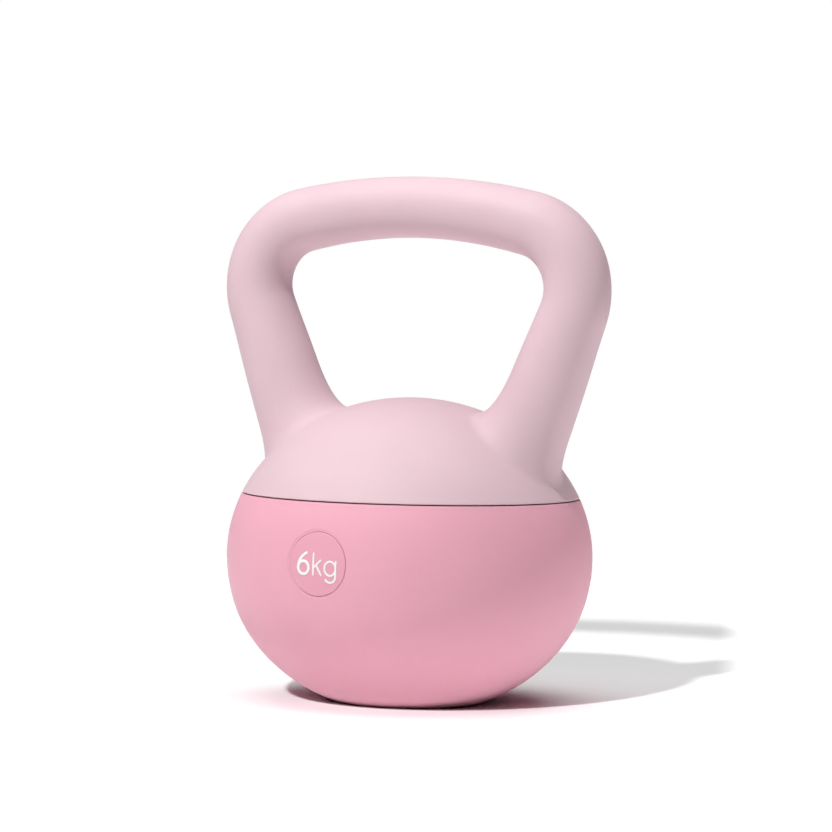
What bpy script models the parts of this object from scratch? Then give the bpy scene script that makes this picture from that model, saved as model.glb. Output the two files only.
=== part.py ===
"""Soft-base kettlebell with a moulded handle, modelled as its separate pieces.

Units are metres and +Z is up. The floor is z = 0, the handle lies in the XZ plane and the badge faces -Y.
Everything is worked out from the driving dimensions below.
"""

from math import asin, ceil, cos, hypot, pi, radians, sin, sqrt

import bmesh
import bpy
from mathutils import Matrix, Vector

# Ball: a dome above its widest level and a bowl below it, cut flat at the floor.
BALL_DIAMETER = 0.175
EQUATOR_HEIGHT = 0.0696
DOME_RISE = 0.0759
BOWL_DEPTH = 0.0752
BOWL_FULLNESS = 2.08

# Parting line between the upper shell and the soft bowl.
SEAM_HEIGHT = 0.0987
SEAM_GAP = 0.0006
EDGE_EASE = 0.0005

# Handle: two legs that lean out, a corner each and a gently arched grip. The root fillet runs further up
# the leg than across the dome, and the leg keeps its size for a share of its way up through the wall.
HANDLE_HEIGHT = 0.2510
GRIP_RADIUS = 0.0146
LEG_RADIUS = 0.0160
ROOT_FLARE = 0.0030
LEG_LEAN = radians(20.8)
CORNER_RADIUS = 0.0320
CROWN_RADIUS = 0.2700
FOOT_INSET = 0.0274
ROOT_FILLET = 0.012
FILLET_RUN = 2.4
BURIED_SHARE = 0.6

# Walls and clearances.
FIT = 0.0003
DOME_WALL = 0.0045
BOWL_WALL = 0.006
CANISTER_WALL = 0.003

# Steel core of the handle and the plate that it stands on.
CORE_RADIUS = 0.0095
CORE_WALL = 0.002
COLLAR_WALL = 0.0022
COLLAR_LENGTH = 0.006
PLATE_THICKNESS = 0.004
PLATE_WINDOW = 0.015
LEDGE_THICKNESS = 0.004

# Screws that clamp the dome's ledge between the canister lid and the anchor plate.
SCREW_COUNT = 6
SHANK_RADIUS = 0.0025
HEAD_RADIUS = 0.0045
HEAD_HEIGHT = 0.0033
SOCKET_FLATS = 0.004
SOCKET_DEPTH = 0.002
SCREW_EDGE = 0.0080
SHANK_SHORT = 0.0006
HEAD_MARGIN = 0.0015

# Canister lid, the bowl's lip over it, and the sealing ring in the parting line.
LID_THICKNESS = 0.004
LIP_THICKNESS = 0.003
SKIRT_WALL = 0.003
SKIRT_LENGTH = 0.0044
LID_STEP = 0.0017
GROOVE_SHOULDER = 0.0008
GROOVE_WIDTH = 0.0040
GROOVE_DEPTH = 0.0020
SAND_HEADROOM = 0.0004

# Filling hole in the base, with its plug, washer and soft cap.
FLOOR_THICKNESS = 0.006
FILLER_RADIUS = 0.012
PLUG_FLANGE = 0.003
PLUG_HEAD_HEIGHT = 0.0020
PLUG_REACH = 0.0022
PLUG_KEY_FLATS = 0.008
PLUG_KEY_DEPTH = 0.004
WASHER_THICKNESS = 0.0011
CAP_THICKNESS = 0.0018
CAP_RECESS = 0.0005
BASE_HOLE_MARGIN = 0.002

# Round badge let into the front of the bowl.
BADGE_RADIUS = 0.0148
BADGE_THICKNESS = 0.0016
BADGE_CHAMFER = 0.001
BADGE_DROP = 0.0284
BADGE_TURN = radians(-1.9)
CUTTER_REACH = 0.003

# Mesh resolution.
BALL_SIDES = 40
HANDLE_SIDES = 24
CORE_SIDES = 12
SMALL_SIDES = 24
ROOT_STEPS = 4
LEG_STEPS = 4
CORNER_STEPS = 8
CROWN_STEPS = 6
SCREW_SIDES = 12
OUTSIDE_STEP = radians(6)
INSIDE_STEP = radians(9)
MERGE = 1e-6
SMOOTH_ANGLE = radians(35)

BALL_RADIUS = BALL_DIAMETER / 2
BALL_TOP = EQUATOR_HEIGHT + DOME_RISE
DOME_RIM = SEAM_HEIGHT + SEAM_GAP / 2
BOWL_RIM = SEAM_HEIGHT - SEAM_GAP / 2
LEDGE_TOP = DOME_RIM + LEDGE_THICKNESS
PLATE_BOTTOM = LEDGE_TOP + FIT
PLATE_TOP = PLATE_BOTTOM + PLATE_THICKNESS
LID_TOP = DOME_RIM - FIT
LID_BOTTOM = LID_TOP - LID_THICKNESS
LIP_BOTTOM = BOWL_RIM - LIP_THICKNESS
CANISTER_RIM = LIP_BOTTOM - FIT
CANISTER_BOTTOM = FLOOR_THICKNESS + FIT
CANISTER_FLOOR = CANISTER_BOTTOM + CANISTER_WALL
SKIRT_BOTTOM = LID_BOTTOM - SKIRT_LENGTH
SAND_TOP = SKIRT_BOTTOM - SAND_HEADROOM
SAND_BOTTOM = CANISTER_FLOOR + FIT
HEAD_TOP = LID_BOTTOM - FIT
BORE_RADIUS = CORE_RADIUS + FIT
COLLAR_RADIUS = BORE_RADIUS + COLLAR_WALL
PLUG_HEAD_RADIUS = FILLER_RADIUS + PLUG_FLANGE
PLUG_SHANK_RADIUS = FILLER_RADIUS - FIT
WASHER_TOP = CANISTER_BOTTOM - FIT
PLUG_HEAD_TOP = WASHER_TOP - WASHER_THICKNESS - FIT
PLUG_HEAD_BOTTOM = PLUG_HEAD_TOP - PLUG_HEAD_HEIGHT
PLUG_TOP = CANISTER_FLOOR + PLUG_REACH
BASE_HOLE = PLUG_HEAD_RADIUS + BASE_HOLE_MARGIN
BADGE_HEIGHT = SEAM_HEIGHT - BADGE_DROP


def clear_scene():
    for old in list(bpy.data.objects):
        bpy.data.objects.remove(old)


def material(name, colour, roughness, metallic=0.0):
    made = bpy.data.materials.new(name)
    made.use_nodes = True
    surface = made.node_tree.nodes["Principled BSDF"]
    surface.inputs["Base Color"].default_value = (*colour, 1.0)
    surface.inputs["Roughness"].default_value = roughness
    surface.inputs["Metallic"].default_value = metallic
    return made


def ball_reach(height, inset):
    """Height of the ball's dome or bowl, and its superellipse power, for a surface inset under the skin."""
    if height > EQUATOR_HEIGHT:
        return DOME_RISE - inset, 2.0
    return BOWL_DEPTH - inset, BOWL_FULLNESS


def ball_radius(height, inset=0.0):
    """Radius of the ball at a height, for a surface inset under the skin."""
    reach, power = ball_reach(height, inset)
    share = min(abs(height - EQUATOR_HEIGHT) / reach, 1.0)
    return (BALL_RADIUS - inset) * (1 - share**power) ** (1 / power)


def elevation(height, inset):
    """Angle up from the ball's widest level that reaches a height."""
    share = (height - EQUATOR_HEIGHT) / ball_reach(height, inset)[0]
    return asin(max(-1.0, min(1.0, share)))


def ball_point(angle, inset):
    """(radius, height) on the ball at an angle up from its widest level."""
    rise = DOME_RISE if angle > 0 else BOWL_DEPTH
    height = EQUATOR_HEIGHT + (rise - inset) * sin(angle)
    return ball_radius(height, inset), height


def ball_arc(start, end, inset, step):
    """Outline points along the ball from one height to another, at whole steps of angle between the ends."""
    low, high = sorted((elevation(start, inset), elevation(end, inset)))
    between = [number * step for number in range(ceil(low / step), ceil(high / step))]
    angles = [angle for angle in between if min(angle - low, high - angle) > step / 5]
    angles = [low, *angles, high]
    if start > end:
        angles.reverse()
    return [ball_point(angle, inset) for angle in angles]


def onto_ball(point, inset):
    """The point moved along its line from the ball's centre onto the dome, inset under the skin."""
    across = BALL_RADIUS - inset
    rise = DOME_RISE - inset
    level = sqrt((point.x**2 + point.y**2) / across**2 + ((point.z - EQUATOR_HEIGHT) / rise) ** 2)
    centre = Vector((0, 0, EQUATOR_HEIGHT))
    return centre + (point - centre) / level


def finish(name, built, surface):
    """Make an object of a bmesh, with outward faces and smooth round surfaces."""
    bmesh.ops.recalc_face_normals(built, faces=built.faces)
    mesh = bpy.data.meshes.new(name)
    built.to_mesh(mesh)
    built.free()
    mesh.shade_smooth()
    mesh.set_sharp_from_angle(angle=SMOOTH_ANGLE)
    made = bpy.data.objects.new(name, mesh)
    bpy.context.scene.collection.objects.link(made)
    made.data.materials.append(surface)
    return made


def turned(name, outline, sides, surface):
    """Spin a closed outline of (radius, height) points round the Z axis."""
    built = bmesh.new()
    points = [built.verts.new((radius, 0, height)) for radius, height in outline]
    edges = []
    for first, second in zip(points, points[1:] + points[:1]):
        if max(first.co.x, second.co.x) > MERGE:
            edges.append(built.edges.new((first, second)))
    bmesh.ops.spin(
        built, geom=points + edges, axis=(0, 0, 1), cent=(0, 0, 0), steps=sides, angle=2 * pi, use_merge=True
    )
    bmesh.ops.remove_doubles(built, verts=built.verts, dist=MERGE)
    return finish(name, built, surface)


def skinned(name, rings, surface, looped=False):
    """Join rings of points into one solid, capped at both ends or, when looped, closed on itself."""
    built = bmesh.new()
    rows = [[built.verts.new(point) for point in ring] for ring in rings]
    pairs = list(zip(rows, rows[1:]))
    if looped:
        pairs.append((rows[-1], rows[0]))
    else:
        built.faces.new(rows[0])
        built.faces.new(rows[-1])
    for low, high in pairs:
        for side in range(len(low)):
            after = (side + 1) % len(low)
            built.faces.new((low[side], low[after], high[after], high[side]))
    return finish(name, built, surface)


def boolean(target, other, operation):
    """Add a Boolean to the target and hide the other object, which is only its tool."""
    step = target.modifiers.new(f"{operation.lower()} {other.name}", "BOOLEAN")
    step.operation = operation
    step.solver = "EXACT"
    step.object = other
    other.hide_render = True
    other.display_type = "WIRE"


# ---- sizes that follow from the ball ----

PLATE_RADIUS = ball_radius(PLATE_TOP, DOME_WALL) - FIT
SKIRT_RADIUS = ball_radius(CANISTER_RIM, BOWL_WALL + FIT + CANISTER_WALL) - FIT
SCREW_CIRCLE = min(PLATE_RADIUS, SKIRT_RADIUS) - SCREW_EDGE
LEDGE_RADIUS = SCREW_CIRCLE - HEAD_RADIUS - HEAD_MARGIN
LID_RADIUS = SKIRT_RADIUS - LID_STEP
LIP_RADIUS = LID_RADIUS + FIT
GROOVE_INNER = LIP_RADIUS + GROOVE_SHOULDER
GROOVE_OUTER = GROOVE_INNER + GROOVE_WIDTH

# ---- handle path ----

FOOT = Vector((ball_radius(DOME_RIM) - FOOT_INSET, 0, PLATE_TOP))
LEG_UP = Vector((sin(LEG_LEAN), 0, cos(LEG_LEAN)))
LEG_OUT = Vector((cos(LEG_LEAN), 0, -sin(LEG_LEAN)))
ACROSS = Vector((0, 1, 0))
CROWN_CENTRE = Vector((0, 0, HANDLE_HEIGHT - GRIP_RADIUS - CROWN_RADIUS))


def leg_length():
    """Distance up the leg's centre line from its foot to the start of the corner."""
    start = FOOT - LEG_OUT * CORNER_RADIUS - CROWN_CENTRE
    along = start.dot(LEG_UP)
    return -along + sqrt(along**2 - start.length_squared + (CROWN_RADIUS - CORNER_RADIUS) ** 2)


LEG_LENGTH = leg_length()
CORNER_CENTRE = FOOT - LEG_OUT * CORNER_RADIUS + LEG_UP * LEG_LENGTH
CROWN_OUT = (CORNER_CENTRE - CROWN_CENTRE).normalized()


def arc(centre, radius, start, end, steps):
    """(point, outward direction) pairs along an arc in the handle's plane, without its first point."""
    sweep = start.angle(end)
    side = (end - start * start.dot(end)).normalized()
    pairs = []
    for step in range(1, steps + 1):
        angle = sweep * step / steps
        outward = start * cos(angle) + side * sin(angle)
        pairs.append((centre + outward * radius, outward))
    return pairs


def bend_stations():
    """Centre line of the right half above its leg, from the end of the leg to mid grip."""
    corner = arc(CORNER_CENTRE, CORNER_RADIUS, LEG_OUT, CROWN_OUT, CORNER_STEPS)
    crown = arc(CROWN_CENTRE, CROWN_RADIUS, CROWN_OUT, Vector((0, 0, 1)), CROWN_STEPS)
    return corner + crown


def leg_radius(distance):
    """Radius of the handle on its leg, larger towards the root."""
    return LEG_RADIUS + ROOT_FLARE * (1 - (distance / LEG_LENGTH) ** 2)


def bend_radius(share):
    """Radius of the handle from the end of the leg (share 0) to mid grip (share 1)."""
    return LEG_RADIUS + (GRIP_RADIUS - LEG_RADIUS) * share * share * (3 - 2 * share)


def ring(centre, outward, radius, sides):
    """Points of a round section across the handle."""
    points = []
    for side in range(sides):
        angle = 2 * pi * side / sides
        points.append(centre + (outward * cos(angle) + ACROSS * sin(angle)) * radius)
    return points


def level_ring(points, height):
    """The ring slid along the leg until it lies flat at a height."""
    return [point + LEG_UP * ((height - point.z) / LEG_UP.z) for point in points]


def mirrored(rings):
    """The rings of the right half, mid grip last, followed by those of the left half."""
    left = [[Vector((-point.x, point.y, point.z)) for point in points] for points in rings[:-1]]
    return rings + left[::-1]


def tube_rings(radius, foot_height, sides):
    """Rings of a tube of one radius along the whole handle, its ends level at foot_height."""
    rings = [level_ring(ring(FOOT, LEG_OUT, radius, sides), foot_height)]
    for share in (0.5, 1.0):
        rings.append(ring(FOOT + LEG_UP * LEG_LENGTH * share, LEG_OUT, radius, sides))
    for centre, outward in bend_stations():
        rings.append(ring(centre, outward, radius, sides))
    return mirrored(rings)


def leg_point(angle, distance):
    outward = LEG_OUT * cos(angle) + ACROSS * sin(angle)
    return FOOT + LEG_UP * distance + outward * leg_radius(distance)


def dome_crossing(angle):
    """Distance up the leg where its side comes out of the dome."""
    low, high = 0.0, LEG_LENGTH
    for _ in range(40):
        middle = (low + high) / 2
        point = leg_point(angle, middle)
        if hypot(point.x, point.y) < ball_radius(point.z) and point.z < BALL_TOP:
            low = middle
        else:
            high = middle
    return low


def root_column(angle):
    """Points up one side of the leg root: foot, inside the dome's wall, then the fillet up to the leg."""
    crossing = dome_crossing(angle)
    corner = leg_point(angle, crossing)
    normal = Vector((corner.x / BALL_RADIUS**2, corner.y / BALL_RADIUS**2, 0))
    normal.z = (corner.z - EQUATOR_HEIGHT) / DOME_RISE**2
    normal.normalize()
    outward = LEG_OUT * cos(angle) + ACROSS * sin(angle)
    outward = (outward - normal * outward.dot(normal)).normalized()
    opening = outward.angle(LEG_UP)
    tangent = ROOT_FILLET * (1 + cos(opening)) / sin(opening)
    landing = onto_ball(corner + outward * tangent, FIT)
    leaving = leg_point(angle, crossing + tangent * FILLET_RUN)
    foot = level_ring([leg_point(angle, 0)], PLATE_TOP + FIT)[0]
    column = [foot, foot.lerp(corner, BURIED_SHARE)]
    for step in range(ROOT_STEPS + 1):
        share = step / ROOT_STEPS
        column.append(landing.lerp(corner, share).lerp(corner.lerp(leaving, share), share))
    return column


def handle_skin_rings():
    """Rings of the outside of the handle, with a filleted root where it leaves the dome."""
    columns = [root_column(2 * pi * side / HANDLE_SIDES) for side in range(HANDLE_SIDES)]
    rings = [list(level) for level in zip(*columns)]
    start = max((point - FOOT).dot(LEG_UP) for point in rings[-1])
    for step in range(1, LEG_STEPS + 1):
        distance = start + (LEG_LENGTH - start) * step / LEG_STEPS
        rings.append(ring(FOOT + LEG_UP * distance, LEG_OUT, leg_radius(distance), HANDLE_SIDES))
    stations = bend_stations()
    lengths = [0.0]
    previous = FOOT + LEG_UP * LEG_LENGTH
    for centre, _ in stations:
        lengths.append(lengths[-1] + (centre - previous).length)
        previous = centre
    for (centre, outward), length in zip(stations, lengths[1:]):
        rings.append(ring(centre, outward, bend_radius(length / lengths[-1]), HANDLE_SIDES))
    return mirrored(rings)


# ---- screws ----


def screw_places():
    """Screw positions, half a step round from the handle's plane so that they clear its feet."""
    for number in range(SCREW_COUNT):
        angle = 2 * pi * (number + 0.5) / SCREW_COUNT
        yield number + 1, SCREW_CIRCLE * cos(angle), SCREW_CIRCLE * sin(angle)


def flat_ring(radius, height, sides, corners=0):
    """Points round a circle or, with corners, round a regular polygon whose inscribed radius is given."""
    points = []
    for side in range(sides):
        angle = 2 * pi * side / sides
        reach = radius
        if corners:
            sector = 2 * pi / corners
            reach = radius / cos((angle + sector / 2) % sector - sector / 2)
        points.append(Vector((reach * cos(angle), reach * sin(angle), height)))
    return points


def screw_rings():
    """A pan-head screw with a hexagonal socket, head down, its head's upper face at height zero."""
    shank = PLATE_TOP - SHANK_SHORT - HEAD_TOP
    bevel = SHANK_RADIUS / 4
    socket = SOCKET_FLATS / 2
    return [
        flat_ring(socket, SOCKET_DEPTH - HEAD_HEIGHT, SCREW_SIDES, corners=6),
        flat_ring(socket, -HEAD_HEIGHT, SCREW_SIDES, corners=6),
        flat_ring(HEAD_RADIUS - bevel, -HEAD_HEIGHT, SCREW_SIDES),
        flat_ring(HEAD_RADIUS, bevel - HEAD_HEIGHT, SCREW_SIDES),
        flat_ring(HEAD_RADIUS, 0, SCREW_SIDES),
        flat_ring(SHANK_RADIUS, 0, SCREW_SIDES),
        flat_ring(SHANK_RADIUS, shank - bevel, SCREW_SIDES),
        flat_ring(SHANK_RADIUS - bevel, shank, SCREW_SIDES),
    ]


def add_screws(steel):
    first = skinned("lid_screw_1", screw_rings(), steel)
    for number, x, y in screw_places():
        screw = first if number == 1 else bpy.data.objects.new(f"lid_screw_{number}", first.data)
        if number > 1:
            bpy.context.scene.collection.objects.link(screw)
        screw.location = (x, y, HEAD_TOP)


def add_screw_drills(surface):
    """One tool object for each screw: a cylinder through lid, ledge and plate."""
    drills = []
    for number, x, y in screw_places():
        low = flat_ring(SHANK_RADIUS + FIT, LID_BOTTOM - CUTTER_REACH, SCREW_SIDES)
        high = flat_ring(SHANK_RADIUS + FIT, PLATE_TOP + FIT, SCREW_SIDES)
        drill = skinned(f"screw_drill_{number}", [low, high], surface)
        drill.location = (x, y, 0)
        drill.rotation_euler = (0, 0, pi / SCREW_SIDES)
        drills.append(drill)
    return drills


# ---- pieces of the upper assembly ----


def add_upper_shell(pink, drills):
    """Dome and handle as one moulding, open underneath, bored for the steel core."""
    outline = ball_arc(BALL_TOP, DOME_RIM + EDGE_EASE, 0, OUTSIDE_STEP)
    outline += [
        (ball_radius(DOME_RIM) - EDGE_EASE, DOME_RIM),
        (GROOVE_OUTER, DOME_RIM),
        (GROOVE_OUTER, DOME_RIM + GROOVE_DEPTH),
        (GROOVE_INNER, DOME_RIM + GROOVE_DEPTH),
        (GROOVE_INNER, DOME_RIM),
        (LEDGE_RADIUS, DOME_RIM),
        (LEDGE_RADIUS, LEDGE_TOP),
    ]
    outline += ball_arc(LEDGE_TOP, BALL_TOP - DOME_WALL, DOME_WALL, INSIDE_STEP)
    shell = turned("upper_shell", outline, BALL_SIDES, pink)
    handle = skinned("handle_blank", handle_skin_rings(), pink)
    bore = skinned("core_bore", tube_rings(BORE_RADIUS, PLATE_TOP, CORE_SIDES), pink)
    boolean(shell, handle, "UNION")
    boolean(shell, bore, "DIFFERENCE")
    for side in (-1, 1):
        seat = skinned(f"collar_seat_{side}", collar_rings(side, COLLAR_RADIUS + FIT, PLATE_TOP, FIT), pink)
        boolean(shell, seat, "DIFFERENCE")
    for drill in drills:
        boolean(shell, drill, "DIFFERENCE")


def collar_rings(side, radius, foot_height, extra=0.0):
    """End rings of a sleeve round the foot of one leg, for side +1 or -1."""
    low = level_ring(ring(FOOT, LEG_OUT, radius, CORE_SIDES), foot_height)
    high = ring(FOOT + LEG_UP * (COLLAR_LENGTH + extra), LEG_OUT, radius, CORE_SIDES)
    return [[Vector((side * point.x, point.y, point.z)) for point in points] for points in (low, high)]


def add_handle_core(steel):
    """Bent steel tube inside the handle, standing on the anchor plate, with a welded collar at each foot."""
    foot = PLATE_TOP + FIT
    outer = tube_rings(CORE_RADIUS, foot, CORE_SIDES)
    inner = tube_rings(CORE_RADIUS - CORE_WALL, foot, CORE_SIDES)
    skinned("handle_core", outer + inner[::-1], steel, looped=True)
    for side, place in ((-1, "left"), (1, "right")):
        outer = collar_rings(side, COLLAR_RADIUS, foot)
        inner = collar_rings(side, BORE_RADIUS, foot)
        skinned(f"core_collar_{place}", outer + inner[::-1], steel, looped=True)


def add_anchor_plate(steel, drills):
    outline = [
        (PLATE_RADIUS, PLATE_TOP),
        (PLATE_RADIUS, PLATE_BOTTOM),
        (PLATE_WINDOW, PLATE_BOTTOM),
        (PLATE_WINDOW, PLATE_TOP),
    ]
    plate = turned("anchor_plate", outline, BALL_SIDES, steel)
    for drill in drills:
        boolean(plate, drill, "DIFFERENCE")


def add_canister_lid(plastic, drills):
    """Bulkhead that closes the canister, with a skirt that seats inside the canister's rim."""
    outline = [
        (0, LID_TOP),
        (LID_RADIUS, LID_TOP),
        (LID_RADIUS, CANISTER_RIM),
        (SKIRT_RADIUS, CANISTER_RIM),
        (SKIRT_RADIUS, SKIRT_BOTTOM),
        (SKIRT_RADIUS - SKIRT_WALL, SKIRT_BOTTOM),
        (SKIRT_RADIUS - SKIRT_WALL, LID_BOTTOM),
        (0, LID_BOTTOM),
    ]
    lid = turned("canister_lid", outline, BALL_SIDES, plastic)
    for drill in drills:
        boolean(lid, drill, "DIFFERENCE")


def add_seam_gasket(rubber):
    """Dark ring in the dome's groove that closes the parting line."""
    outline = [
        (GROOVE_OUTER - FIT, DOME_RIM + GROOVE_DEPTH - FIT),
        (GROOVE_OUTER - FIT, BOWL_RIM + FIT),
        (GROOVE_INNER + FIT, BOWL_RIM + FIT),
        (GROOVE_INNER + FIT, DOME_RIM + GROOVE_DEPTH - FIT),
    ]
    turned("seam_gasket", outline, BALL_SIDES, rubber)


# ---- pieces of the weight ----


def add_canister(plastic):
    """Rigid tub that holds the fill, with a filling hole in its floor."""
    outside = BOWL_WALL + FIT
    inside = outside + CANISTER_WALL
    outline = ball_arc(CANISTER_RIM, CANISTER_BOTTOM, outside, INSIDE_STEP)
    outline += [(FILLER_RADIUS, CANISTER_BOTTOM), (FILLER_RADIUS, CANISTER_FLOOR)]
    outline += ball_arc(CANISTER_FLOOR, CANISTER_RIM, inside, INSIDE_STEP)
    turned("sand_canister", outline, BALL_SIDES, plastic)


def add_iron_sand(sand):
    """The loose fill as one solid, hollowed where the plug reaches in."""
    inset = BOWL_WALL + FIT + CANISTER_WALL + FIT
    outline = [(0, SAND_TOP)]
    outline += ball_arc(SAND_TOP, SAND_BOTTOM, inset, INSIDE_STEP)
    outline += [(FILLER_RADIUS, SAND_BOTTOM), (FILLER_RADIUS, PLUG_TOP + FIT), (0, PLUG_TOP + FIT)]
    turned("iron_sand", outline, BALL_SIDES, sand)


def add_filler_plug(plastic, rubber):
    """Plug pressed up into the canister's floor, with a keyed head and a sealing washer."""
    bevel = PLUG_HEAD_HEIGHT / 4
    key = PLUG_KEY_FLATS / 2
    rings = [
        flat_ring(key, PLUG_HEAD_BOTTOM + PLUG_KEY_DEPTH, SMALL_SIDES, corners=6),
        flat_ring(key, PLUG_HEAD_BOTTOM, SMALL_SIDES, corners=6),
        flat_ring(PLUG_HEAD_RADIUS - bevel, PLUG_HEAD_BOTTOM, SMALL_SIDES),
        flat_ring(PLUG_HEAD_RADIUS, PLUG_HEAD_BOTTOM + bevel, SMALL_SIDES),
        flat_ring(PLUG_HEAD_RADIUS, PLUG_HEAD_TOP, SMALL_SIDES),
        flat_ring(PLUG_SHANK_RADIUS, PLUG_HEAD_TOP, SMALL_SIDES),
        flat_ring(PLUG_SHANK_RADIUS, PLUG_TOP - bevel, SMALL_SIDES),
        flat_ring(PLUG_SHANK_RADIUS - bevel, PLUG_TOP, SMALL_SIDES),
    ]
    skinned("filler_plug", rings, plastic)
    washer = [
        (PLUG_HEAD_RADIUS, WASHER_TOP),
        (PLUG_HEAD_RADIUS, WASHER_TOP - WASHER_THICKNESS),
        (FILLER_RADIUS, WASHER_TOP - WASHER_THICKNESS),
        (FILLER_RADIUS, WASHER_TOP),
    ]
    turned("plug_washer", washer, SMALL_SIDES, rubber)


# ---- pieces of the soft base ----


def badge_rings(levels):
    """Rings of a disc that follows the bowl's front, from (radius, inset) levels back to front."""
    turn = Matrix.Rotation(BADGE_TURN, 3, "Z")
    rings = []
    for radius, inset in levels:
        points = []
        for side in range(SMALL_SIDES):
            angle = 2 * pi * side / SMALL_SIDES
            x = radius * cos(angle)
            z = BADGE_HEIGHT + radius * sin(angle)
            points.append(turn @ Vector((x, -sqrt(ball_radius(z, inset) ** 2 - x**2), z)))
        rings.append(points)
    return rings


def add_badge(pink):
    back = BADGE_THICKNESS
    middle = BADGE_RADIUS / 2
    levels = [(middle, back), (BADGE_RADIUS, back), (BADGE_RADIUS, EDGE_EASE)]
    levels += [(BADGE_RADIUS - EDGE_EASE, 0), (middle, 0)]
    skinned("weight_badge", badge_rings(levels), pink)


def add_lower_shell(pink):
    """Soft bowl whose lip hooks over the canister's rim, with a flat foot and a recess for the badge."""
    outline = [(ball_radius(BOWL_RIM) - EDGE_EASE, BOWL_RIM)]
    outline += ball_arc(BOWL_RIM - EDGE_EASE, 0, 0, OUTSIDE_STEP)
    outline += [(BASE_HOLE, 0), (BASE_HOLE, FLOOR_THICKNESS)]
    outline += ball_arc(FLOOR_THICKNESS, LIP_BOTTOM, BOWL_WALL, INSIDE_STEP)
    outline += [(LIP_RADIUS, LIP_BOTTOM), (LIP_RADIUS, BOWL_RIM)]
    bowl = turned("lower_shell", outline, BALL_SIDES, pink)
    seat = BADGE_RADIUS + FIT
    back = BADGE_THICKNESS + FIT
    levels = [(seat / 2, back), (seat, back), (seat, BADGE_CHAMFER)]
    levels += [(seat + BADGE_CHAMFER, 0), (seat + BADGE_CHAMFER, -CUTTER_REACH), (seat / 2, -CUTTER_REACH)]
    boolean(bowl, skinned("badge_cutter", badge_rings(levels), pink), "DIFFERENCE")


def add_base_cap(rubber):
    """Soft cap that closes the base hole over the plug, just clear of the floor."""
    bottom = CAP_RECESS
    outline = [
        (0, bottom + CAP_THICKNESS),
        (BASE_HOLE - FIT, bottom + CAP_THICKNESS),
        (BASE_HOLE - FIT, bottom + EDGE_EASE),
        (BASE_HOLE - FIT - EDGE_EASE, bottom),
        (0, bottom),
    ]
    turned("base_cap", outline, SMALL_SIDES, rubber)


def build():
    clear_scene()
    light_pink = material("light_pink_moulding", (0.83, 0.62, 0.68), 0.55)
    deep_pink = material("deep_pink_soft_vinyl", (0.78, 0.40, 0.50), 0.6)
    badge_pink = material("badge_pink", (0.82, 0.46, 0.55), 0.5)
    dark_rubber = material("dark_rubber", (0.06, 0.035, 0.035), 0.8)
    steel = material("zinc_steel", (0.55, 0.56, 0.58), 0.35, 1.0)
    tub = material("natural_plastic", (0.72, 0.71, 0.68), 0.5)
    sand = material("iron_sand", (0.09, 0.08, 0.08), 0.9)
    drills = add_screw_drills(steel)
    add_upper_shell(light_pink, drills)
    add_handle_core(steel)
    add_anchor_plate(steel, drills)
    add_canister_lid(tub, drills)
    add_screws(steel)
    add_seam_gasket(dark_rubber)
    add_canister(tub)
    add_iron_sand(sand)
    add_filler_plug(tub, dark_rubber)
    add_lower_shell(deep_pink)
    add_base_cap(deep_pink)
    add_badge(badge_pink)


build()
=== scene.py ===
"""Looks of the two-tone kettlebell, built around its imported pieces.

Units are metres and +Z is up. The floor is z = 0, the handle lies in the XZ plane and the badge faces -Y,
turned slightly towards -X.
"""

import itertools
from math import atan2, cos, pi, radians, sin, sqrt

import bmesh
import bpy
import numpy as np
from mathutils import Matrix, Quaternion, Vector


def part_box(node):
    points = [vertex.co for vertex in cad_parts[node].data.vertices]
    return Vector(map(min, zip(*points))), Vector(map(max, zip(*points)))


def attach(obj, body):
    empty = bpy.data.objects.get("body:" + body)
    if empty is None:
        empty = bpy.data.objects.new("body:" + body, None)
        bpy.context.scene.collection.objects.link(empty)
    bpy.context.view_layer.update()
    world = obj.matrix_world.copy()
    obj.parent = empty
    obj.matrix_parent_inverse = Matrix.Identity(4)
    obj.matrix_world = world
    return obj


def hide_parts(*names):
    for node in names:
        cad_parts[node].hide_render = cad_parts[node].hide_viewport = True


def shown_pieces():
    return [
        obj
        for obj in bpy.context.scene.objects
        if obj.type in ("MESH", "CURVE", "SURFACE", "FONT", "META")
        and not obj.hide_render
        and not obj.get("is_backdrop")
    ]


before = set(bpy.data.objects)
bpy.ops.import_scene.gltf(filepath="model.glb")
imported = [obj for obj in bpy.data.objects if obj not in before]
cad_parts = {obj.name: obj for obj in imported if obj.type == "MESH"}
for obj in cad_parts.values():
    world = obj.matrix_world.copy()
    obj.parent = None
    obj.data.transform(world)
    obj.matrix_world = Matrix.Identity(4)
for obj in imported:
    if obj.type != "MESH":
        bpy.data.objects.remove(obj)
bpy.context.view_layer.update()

# Ball and parting line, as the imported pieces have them.
BALL_RADIUS = 0.0875
EQUATOR_HEIGHT = 0.0696
DOME_RISE = 0.0759
BOWL_DEPTH = 0.0752
BOWL_FULLNESS = 2.08
SEAM_HEIGHT = 0.0987
SEAM_GAP = 0.0006
DOME_WALL = 0.0045
BOWL_WALL = 0.006
FIT = 0.0003
BALL_TOP = EQUATOR_HEIGHT + DOME_RISE
DOME_RIM = SEAM_HEIGHT + SEAM_GAP / 2
BOWL_RIM = SEAM_HEIGHT - SEAM_GAP / 2

# Handle.
HANDLE_HEIGHT = 0.2510
GRIP_RADIUS = 0.0146
LEG_RADIUS = 0.0160
ROOT_FLARE = 0.0030
FLARE_TURN = 0.85
LEG_LEAN = radians(20.8)
CORNER_RADIUS = 0.0320
CROWN_RADIUS = 0.2700
FOOT_INSET = 0.0274
ROOT_FILLET = 0.012
FILLET_RUN = 2.4
CORE_BORE = 0.0098
COLLAR_SEAT = 0.0123
COLLAR_LENGTH = 0.0063

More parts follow.
